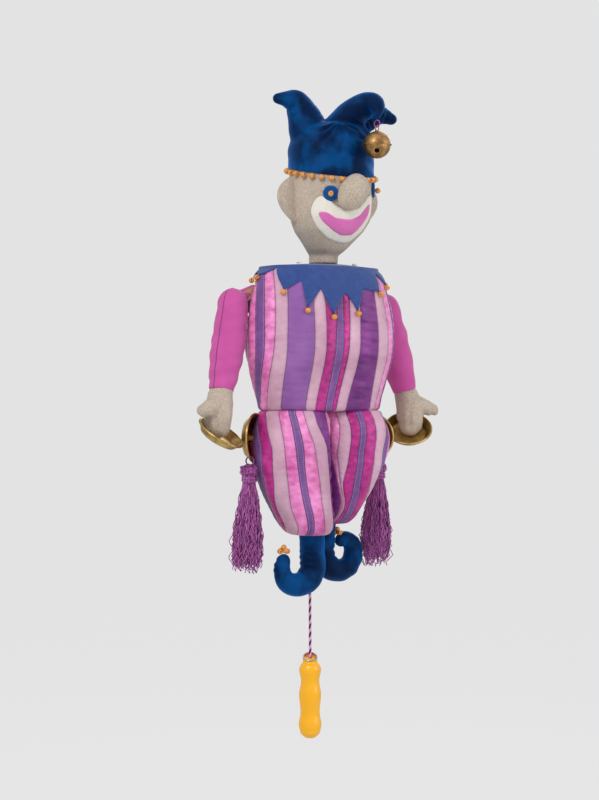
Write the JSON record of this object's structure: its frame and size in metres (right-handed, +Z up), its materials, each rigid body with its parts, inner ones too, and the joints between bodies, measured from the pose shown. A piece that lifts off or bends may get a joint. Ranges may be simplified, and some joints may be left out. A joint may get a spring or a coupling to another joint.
{
  "type": "jester jumping jack",
  "caption": "Stuffed cloth jester that hangs up, with a three-horned velvet hat, ribbon-striped body, brass cymbals on hands and hips, tassels, and a pull cord with a turned yellow handle.",
  "frame": {"origin": "centre of the hanger hole on the back face of the hanger plate, in the plane of the wall", "axes": "+Z up, +X towards the figure's own left, +Y out of the back into the wall, so the figure looks along -Y"},
  "size_m": [0.3535, 0.1669, 0.8383],
  "materials": {
    "plywood": "planed birch plywood",
    "brass": "satin brass",
    "steel": "plain steel wire and pins",
    "striped_ribbon": "sewn satin and velvet ribbon strips",
    "linen": "coarse woven linen",
    "velvet": "blue velvet",
    "felt_navy": "navy felt",
    "felt_white": "white felt",
    "satin_pink": "pink satin",
    "sleeve_cloth": "pink jersey",
    "wood_bead": "varnished wooden beads",
    "thread": "rayon thread",
    "cord": "two-ply twisted cord",
    "handle_lacquer": "yellow gloss lacquer on turned wood",
    "bell_metal": "aged brass"
  },
  "bodies": {
    "trunk": {"back_board": "plywood", "hanger_plate": "brass", "hanger_screws": "brass", "shoulder_pins": "steel", "cord_guide": "plywood", "neck_block": "plywood", "neck_dowel": "plywood", "torso_front": "striped_ribbon", "torso_back": "striped_ribbon", "right_trouser": "striped_ribbon", "left_trouser": "striped_ribbon", "hip_blocks": "plywood", "hip_screws": "brass", "ankle_pins": "steel", "right_hip_cymbal": "brass", "left_hip_cymbal": "brass", "collar": "felt_navy", "collar_beads": "wood_bead", "collar_snaps": "steel", "head": "linen", "right_ear": "linen", "left_ear": "linen", "nose": "linen", "eye_patches": "felt_navy", "eye_beads": "wood_bead", "face_patch": "felt_white", "mouth": "satin_pink", "hat": "velvet", "hat_beads": "wood_bead", "bell_thread": "thread"},
    "bell": {"bell_top": "bell_metal", "bell_bottom": "bell_metal", "bell_pellet": "steel"},
    "right_arm": {"right_arm_core": "plywood", "right_sleeve": "sleeve_cloth", "right_hand": "linen", "right_hand_cymbal": "brass", "right_cymbal_rivet": "brass"},
    "left_arm": {"left_arm_core": "plywood", "left_sleeve": "sleeve_cloth", "left_hand": "linen", "left_hand_cymbal": "brass", "left_cymbal_rivet": "brass"},
    "pull": {"draw_knot": "cord", "right_arm_string": "cord", "left_arm_string": "cord", "pull_cord": "cord", "handle": "handle_lacquer", "handle_ring": "steel"},
    "right_leg": {"right_shoe": "velvet", "right_ankle_core": "plywood", "right_toe_beads": "wood_bead"},
    "left_leg": {"left_shoe": "velvet", "left_ankle_core": "plywood", "left_toe_beads": "wood_bead"},
    "right_tassel": {"right_tassel_head": "thread", "right_tassel_skirt": "thread"},
    "left_tassel": {"left_tassel_head": "thread", "left_tassel_skirt": "thread"}
  },
  "joints": [
    {"name": "pull", "type": "slide", "parent": "trunk", "child": "pull", "axis": [0, 0, -1], "range_m": [0, 0.045]},
    {"name": "right_arm", "type": "hinge", "parent": "trunk", "child": "right_arm", "pos_m": [-0.119, -0.016, -0.026], "axis": [0, 1, 0], "range_deg": [0, 60]},
    {"name": "left_arm", "type": "hinge", "parent": "trunk", "child": "left_arm", "pos_m": [0.119, -0.016, -0.026], "axis": [0, -1, 0], "range_deg": [0, 60]},
    {"name": "right_leg", "type": "hinge", "parent": "trunk", "child": "right_leg", "pos_m": [-0.0195, -0.0483, -0.3085], "axis": [1, 0, 0], "range_deg": [-20, 20]},
    {"name": "left_leg", "type": "hinge", "parent": "trunk", "child": "left_leg", "pos_m": [0.0195, -0.0165, -0.2965], "axis": [1, 0, 0], "range_deg": [-20, 20]},
    {"name": "right_tassel", "type": "hinge", "parent": "trunk", "child": "right_tassel", "pos_m": [-0.1001, -0.0238, -0.22378], "axis": [-0.5878, 0.809, 0], "range_deg": [-20, 20]},
    {"name": "left_tassel", "type": "hinge", "parent": "trunk", "child": "left_tassel", "pos_m": [0.1001, -0.0238, -0.22378], "axis": [0.5878, 0.809, 0], "range_deg": [-20, 3]},
    {"name": "bell", "type": "hinge", "parent": "trunk", "child": "bell", "pos_m": [0.021, -0.136, 0.1965], "axis": [0.2765, -0.961, 0], "range_deg": [-15, 15]}
  ],
  "couplings": [
    {"joint": "right_arm", "follows": "pull", "rad_per_m": 23.271},
    {"joint": "left_arm", "follows": "pull", "rad_per_m": 23.271}
  ]
}
